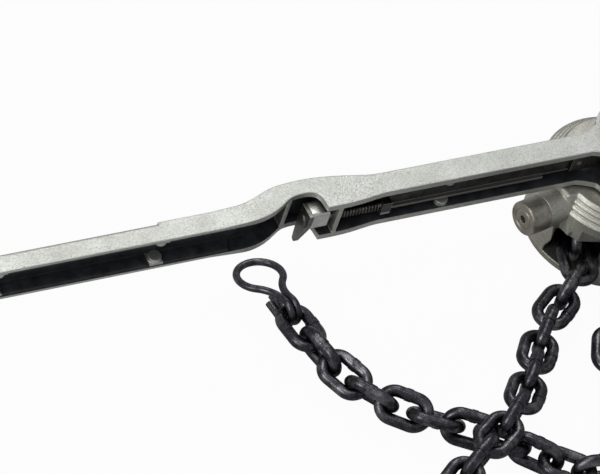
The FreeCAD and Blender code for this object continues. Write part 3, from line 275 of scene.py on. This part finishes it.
def sintered_bronze(name):
    """Bush of sintered bronze: warm and dull, with a fine open grain."""
    material, tree, place = new_material(name)
    grain = pattern(tree, place, 0.7, 3.0, 0.6)
    colour = add_node(tree, "ShaderNodeValToRGB", {0: grain},
                      [(0.3, linear("#7A5A34")), (0.7, linear("#B48E56"))])[0]
    roughness = add_node(tree, "ShaderNodeMapRange", {0: grain, 1: 0.3, 2: 0.7, 3: 0.52, 4: 0.38})[0]
    close_metal(tree, colour, roughness, grain, 0.05)
    return material


def tube_object(name, grid, material):
    """A closed tube from a grid of points in metres: rows u run along it, columns v go round it, and
    a flat face closes each end."""
    rows, columns = grid.shape[:2]
    uu, vv = np.meshgrid(np.arange(rows - 1), np.arange(columns), indexing="ij")
    a = uu * columns + vv
    b = (uu + 1) * columns + vv
    c = (uu + 1) * columns + (vv + 1) % columns
    d = uu * columns + (vv + 1) % columns
    faces = np.stack([a, d, c, b], axis=-1).reshape(-1, 4).tolist()
    faces += [list(range(columns)), list(range((rows - 1) * columns, rows * columns))[::-1]]
    mesh = bpy.data.meshes.new(name)
    mesh.from_pydata(grid.reshape(-1, 3).tolist(), [], faces)
    mesh.materials.append(material)
    mesh.polygons.foreach_set("use_smooth", [True] * len(mesh.polygons))
    mesh.update()
    obj = bpy.data.objects.new(name, mesh)
    bpy.context.scene.collection.objects.link(obj)
    return obj


def tube_grid(path, radius):
    """A round tube: each ring is the path point plus radius times the cosine and sine of v
    along two directions square to the path there. The directions are carried along the path."""
    step = np.gradient(path, axis=0)
    tangent = step / np.linalg.norm(step, axis=1, keepdims=True)
    helper = np.array([0.0, 0.0, 1.0]) if abs(tangent[0][2]) < 0.9 else np.array([0.0, 1.0, 0.0])
    side = np.cross(tangent, helper)
    side /= np.linalg.norm(side, axis=1, keepdims=True)
    up = np.cross(side, tangent)
    v = np.linspace(0, 2 * np.pi, WIRE_SIDES, endpoint=False)
    return (path[:, None] + radius * (np.cos(v)[None, :, None] * side[:, None]
                                      + np.sin(v)[None, :, None] * up[:, None]))


def coil_path(start, end, mean_radius, wire, turns):
    """A spring wire's middle: with u from 0 to 1, round the axis by 2 pi turns u and along it by
    wire / 2 + (length - wire) u, at mean_radius from the axis."""
    length = np.linalg.norm(end - start)
    axis = (end - start) / length
    side = np.cross(axis, np.array([0.0, 0.0, 1.0]))
    side /= np.linalg.norm(side)
    up = np.cross(side, axis)
    u = np.linspace(0, 1, int(turns * COIL_POINTS))[:, None]
    angle = 2 * np.pi * turns * u
    return (start + (wire / 2 + (length - wire) * u) * axis
            + mean_radius * (np.cos(angle) * side + np.sin(angle) * up))


def wound_spring(name, start, end, wire_mm, radius_mm, turns, material):
    """A spring of round wire between two points in metres: a tube along the coil's path."""
    path = coil_path(start, end, radius_mm * MM, wire_mm * MM, turns)
    return tube_object(name, tube_grid(path, wire_mm * MM / 2), material)


class HoistSizes(bpy.types.PropertyGroup):
    """Sizes of the wound springs, and how far the camera stands and how large the hoist appears."""

    spring_wire: bpy.props.FloatProperty(name="Return spring wire", default=1.1, min=0.4, max=2.0,
                                         description="Thickness of the return spring's wire, mm")
    spring_radius: bpy.props.FloatProperty(name="Return spring radius", default=2.45, min=1.0, max=6.0,
                                           description="Radius to the middle of the wire, mm")
    spring_turns: bpy.props.FloatProperty(name="Return spring turns", default=14.0, min=4.0, max=30.0,
                                          description="Number of turns")
    plunger_wire: bpy.props.FloatProperty(name="Plunger spring wire", default=1.2, min=0.6, max=1.4,
                                          description="Thickness of the plunger spring's wire, mm")
    plunger_radius: bpy.props.FloatProperty(name="Plunger spring radius", default=5.3, min=4.7, max=6.4,
                                            description="Radius to the middle of the wire, mm")
    plunger_turns: bpy.props.FloatProperty(name="Plunger spring turns", default=4.0, min=2.0, max=6.0,
                                           description="Number of turns")
    camera_distance: bpy.props.FloatProperty(name="Camera distance", default=3.0, min=0.5, max=10.0,
                                             unit="LENGTH", description="Camera to the look-at point")
    pixels_per_mm: bpy.props.FloatProperty(name="Image scale", default=1.75, min=0.5, max=4.0,
                                           description="Pixels of the 600 wide image per millimetre")


class HoistColours(bpy.types.PropertyGroup):
    """Main colours of the finishes."""

    cast_light: bpy.props.FloatVectorProperty(name="Casting, light", subtype="COLOR", size=4,
                                              default=linear("#D6D7D1"), min=0.0, max=1.0,
                                              description="Light tone of the cast lever")
    cast_mid: bpy.props.FloatVectorProperty(name="Casting, middle", subtype="COLOR", size=4,
                                            default=linear("#C4C5BE"), min=0.0, max=1.0,
                                            description="Middle tone of the cast lever")
    chain_light: bpy.props.FloatVectorProperty(name="Chain, light", subtype="COLOR", size=4,
                                               default=linear("#55555A"), min=0.0, max=1.0,
                                               description="Light tone of the chain")
    chain_dark: bpy.props.FloatVectorProperty(name="Chain, dark", subtype="COLOR", size=4,
                                              default=linear("#2B2B2F"), min=0.0, max=1.0,
                                              description="Dark tone of the chain")


def dress(nodes, material):
    """Gives CAD nodes one material."""
    for name in nodes:
        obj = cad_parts[name]
        obj.data.materials.clear()
        obj.data.materials.append(material)


class HOIST_OT_castings(bpy.types.Operator):
    """Dresses the cast handle, housing and cover"""

    bl_idname = "hoist.castings"
    bl_label = "Castings"

    def execute(self, context):
        colours = context.scene.hoist_colours
        lever = cast_aluminium("Sand_cast_aluminium_lever", list(colours.cast_light), list(colours.cast_mid),
                               # The lever's channel is painted near black: painted shade.
                               linear("#6E6F6C"), shade_inside_channel=True)
        head = cast_aluminium("Sand_cast_aluminium_head", linear("#D8D7CC"), linear("#B4B3A8"),
                              linear("#5E5D57"))
        dress(["handle_channel"], lever)
        dress(["housing", "bottom_cover"], head)
        return {"FINISHED"}


class HOIST_OT_machined(bpy.types.Operator):
    """Dresses the turned, pressed, hardened and plated steel pieces and the bushes"""

    bl_idname = "hoist.machined"
    bl_label = "Machined pieces"

    def execute(self, context):
        knob = turned_steel("Turned_steel_knob", "#BDB9AE", "#8C877C", (0.36, 0.52))
        ground = turned_steel("Ground_steel_block", "#F2F2EE", "#D2D2CD", (0.28, 0.42))
        dull = turned_steel("Pressed_steel_trigger", "#8A8985", "#5C5B58", (0.34, 0.48))
        # The bar's lowest 1.7 mm gets a painted highlight.
        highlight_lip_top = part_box("operating_bar")[0][2] + 1.7 * MM
        bar = turned_steel("Pressed_steel_bar", "#5E5D5B", "#3A3938", (0.36, 0.50), 0.6, highlight_lip_top)
        dark = turned_steel("Hardened_steel_oiled", "#6B6864", "#3E3C3A", (0.32, 0.46), 0.8)
        zinc = turned_steel("Zinc_plated_steel", "#C9C9C4", "#A9A9A4", (0.26, 0.38), 0.6)
        dress(["pull_knob", "plunger_plug", "main_shaft", "pull_rod", "pawl_pin",
               "top_block_pin", "top_latch_pin", "load_latch_pin", "load_block_rivets"], knob)
        dress(["trigger_block"], ground)
        dress(["finger_plate", "trigger_rivet"], dull)
        dress(["operating_bar"], bar)
        dress(["drive_pawl", "drive_ratchet", "holding_ratchet", "load_sheave", "shaft_keys",
               "holding_plunger", "chain_guide", "load_link_pin"], dark)
        dress(["shaft_nut", "shaft_washer", "cover_screws", "top_latch", "load_latch",
               "top_swivel_nut", "load_swivel_nut"], zinc)
        dress(["cover_bush", "housing_bush", "handle_bushes"], sintered_bronze("Sintered_bronze_bush"))
        return {"FINISHED"}


class HOIST_OT_chain(bpy.types.Operator):
    """Dresses the load chain and the stop loop"""

    bl_idname = "hoist.chain"
    bl_label = "Chain and stop loop"

    def execute(self, context):
        colours = context.scene.hoist_colours
        chain = blackened_steel("Blackened_steel_chain", list(colours.chain_light), list(colours.chain_dark),
                                linear("#8E8D90"), 2.2, (0.24, 0.42))
        wire = blackened_steel("Blackened_steel_wire", linear("#5A5A5F"), linear("#38383C"),
                               linear("#828186"), 3.0, (0.28, 0.40))
        dress(["chain_on_sheave", "chain_load_side", "chain_slack_side"], chain)
        dress(["stop_loop"], wire)
        return {"FINISHED"}


class HOIST_OT_hooks(bpy.types.Operator):
    """Dresses the forged hooks and their blocks"""

    bl_idname = "hoist.hooks"
    bl_label = "Hooks"

    def execute(self, context):
        forged = blackened_steel("Forged_steel_hook", linear("#5A5A5D"), linear("#2F2F32"),
                                 linear("#8A8988"), 3.0, (0.38, 0.54))
        dress(["top_hook", "load_hook", "top_block", "load_block_lower", "load_block_upper"], forged)
        return {"FINISHED"}


class HOIST_OT_springs(bpy.types.Operator):
    """Winds the trigger's return spring and the plunger's spring"""

    bl_idname = "hoist.springs"
    bl_label = "Springs"

    def execute(self, context):
        sizes = context.scene.hoist_sizes
        steel = turned_steel("Spring_steel_wire", "#7A7874", "#484745", (0.26, 0.40), 0.7)
        low, high = [np.array(c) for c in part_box("return_spring")]
        middle = (low + high) / 2
        start = np.array([low[0], middle[1], middle[2]])
        end = np.array([high[0], middle[1], middle[2]])
        spring = wound_spring("trigger_return_coil", start, end, sizes.spring_wire, sizes.spring_radius,
                              sizes.spring_turns, steel)
        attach(spring, "handle")
        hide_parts("return_spring")
        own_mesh(spring)
        low, high = [np.array(c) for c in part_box("plunger_spring")]
        collar, plug = [reach * np.array(KNOB_LINE) + np.array([0, 0, (low[2] + high[2]) / 2])
                        for reach in PLUNGER_COIL_ENDS]
        spring = wound_spring("plunger_coil", collar, plug, sizes.plunger_wire, sizes.plunger_radius,
                              sizes.plunger_turns, steel)
        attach(spring, "housing")
        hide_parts("plunger_spring")
        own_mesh(spring)
        return {"FINISHED"}


class HOIST_OT_stage(bpy.types.Operator):
    """Sets the floor, the light and the camera"""

    bl_idname = "hoist.stage"
    bl_label = "Stage"

    def execute(self, context):
        scene = context.scene
        sizes = scene.hoist_sizes
        material, tree, place = new_material("Painted_board_floor")
        tone = add_node(tree, "ShaderNodeValToRGB", {0: pattern(tree, place, 180.0, 2.0, 0.5)},
                        [(0.3, linear("#BCBCBB")), (0.7, linear("#C4C4C3"))])[0]
        board = add_node(tree, "ShaderNodeBsdfDiffuse", {"Color": tone})[0]
        white = add_node(tree, "ShaderNodeEmission", {"Strength": 1.0})[0]
        seen = add_node(tree, "ShaderNodeLightPath")["Is Camera Ray"]
        amount = add_node(tree, "ShaderNodeMath", {0: seen, 1: FLOOR_GLOW}, operation="MULTIPLY")[0]
        shader = add_node(tree, "ShaderNodeMixShader", {0: amount, 1: board, 2: white})[0]
        add_node(tree, "ShaderNodeOutputMaterial", {"Surface": shader})
        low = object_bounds()[0]
        edge = np.linspace(-FLOOR_HALF, FLOOR_HALF, FLOOR_POINTS)
        u, v = np.meshgrid(edge, edge, indexing="ij")
        grid = np.stack([v, u, np.full_like(u, low[2] - FLOOR_DROP)], axis=-1)
        floor = bpy.data.meshes.new("Floor")
        step = np.arange(FLOOR_POINTS - 1)
        a = (step[:, None] * FLOOR_POINTS + step[None]).reshape(-1)
        faces = np.stack([a, a + 1, a + FLOOR_POINTS + 1, a + FLOOR_POINTS], axis=-1)
        floor.from_pydata(grid.reshape(-1, 3).tolist(), [], faces.tolist())
        floor.materials.append(material)
        floor_object = bpy.data.objects.new("Floor", floor)
        scene.collection.objects.link(floor_object)
        floor_object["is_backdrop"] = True

        world = bpy.data.worlds.new("Studio")
        world.use_nodes = True
        tree = world.node_tree
        tree.nodes.clear()
        seen = add_node(tree, "ShaderNodeLightPath")["Is Camera Ray"]
        room = add_node(tree, "ShaderNodeBackground",
                        {"Color": linear("#F4F6FA"), "Strength": ROOM_LIGHT})[0]
        white = add_node(tree, "ShaderNodeBackground", {"Color": linear("#FFFFFF"), "Strength": 1.0})[0]
        shader = add_node(tree, "ShaderNodeMixShader", {0: seen, 1: room, 2: white})[0]
        add_node(tree, "ShaderNodeOutputWorld", {"Surface": shader})
        scene.world = world

        target = Vector(LIGHTS_AIM)
        for name, place, size, power in LIGHTS:
            light = bpy.data.lights.new(name, "AREA")
            light.size = size
            light.energy = power
            lamp = bpy.data.objects.new(name, light)
            lamp.location = place
            lamp.rotation_euler = (target - Vector(place)).to_track_quat("-Z", "Y").to_euler()
            scene.collection.objects.link(lamp)

        right = Vector(CAMERA_RIGHT).normalized()
        up = Vector(CAMERA_UP)
        up = (up - right * up.dot(right)).normalized()
        back = right.cross(up)
        camera = bpy.data.cameras.new("Camera")
        camera.sensor_width = 36.0
        camera.lens = sizes.pixels_per_mm * sizes.camera_distance / MM * camera.sensor_width / IMAGE_WIDTH
        camera.clip_end = 50.0
        camera_object = bpy.data.objects.new("Camera", camera)
        axes = Matrix((right, up, back)).transposed().to_4x4()
        stand = Vector(CAMERA_AIM) + back * sizes.camera_distance
        camera_object.matrix_world = Matrix.Translation(stand) @ axes
        scene.collection.objects.link(camera_object)
        scene.camera = camera_object
        scene.view_settings.view_transform = "Standard"
        return {"FINISHED"}


class HOIST_PT_panel(bpy.types.Panel):
    """Lists the steps that dress the hoist"""

    bl_idname = "HOIST_PT_panel"
    bl_label = "Lever chain hoist"
    bl_space_type = "VIEW_3D"
    bl_region_type = "UI"
    bl_category = "Hoist"

    def draw(self, context):
        for operator in OPERATORS:
            self.layout.operator(operator.bl_idname)
        scene = context.scene
        for group, names in ((scene.hoist_sizes, HoistSizes), (scene.hoist_colours, HoistColours)):
            for name in names.__annotations__:
                self.layout.prop(group, name)


OPERATORS = (HOIST_OT_castings, HOIST_OT_machined, HOIST_OT_chain, HOIST_OT_hooks, HOIST_OT_springs,
             HOIST_OT_stage)
CLASSES = (HoistSizes, HoistColours) + OPERATORS + (HOIST_PT_panel,)


def register():
    for item in CLASSES:
        bpy.utils.register_class(item)
    bpy.types.Scene.hoist_sizes = bpy.props.PointerProperty(type=HoistSizes)
    bpy.types.Scene.hoist_colours = bpy.props.PointerProperty(type=HoistColours)


def unregister():
    del bpy.types.Scene.hoist_colours
    del bpy.types.Scene.hoist_sizes
    for item in reversed(CLASSES):
        bpy.utils.unregister_class(item)


def main():
    """Registers the add-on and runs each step."""
    register()
    bpy.ops.hoist.castings()
    bpy.ops.hoist.machined()
    bpy.ops.hoist.chain()
    bpy.ops.hoist.hooks()
    bpy.ops.hoist.springs()
    bpy.ops.hoist.stage()


if __name__ == "__main__":
    main()
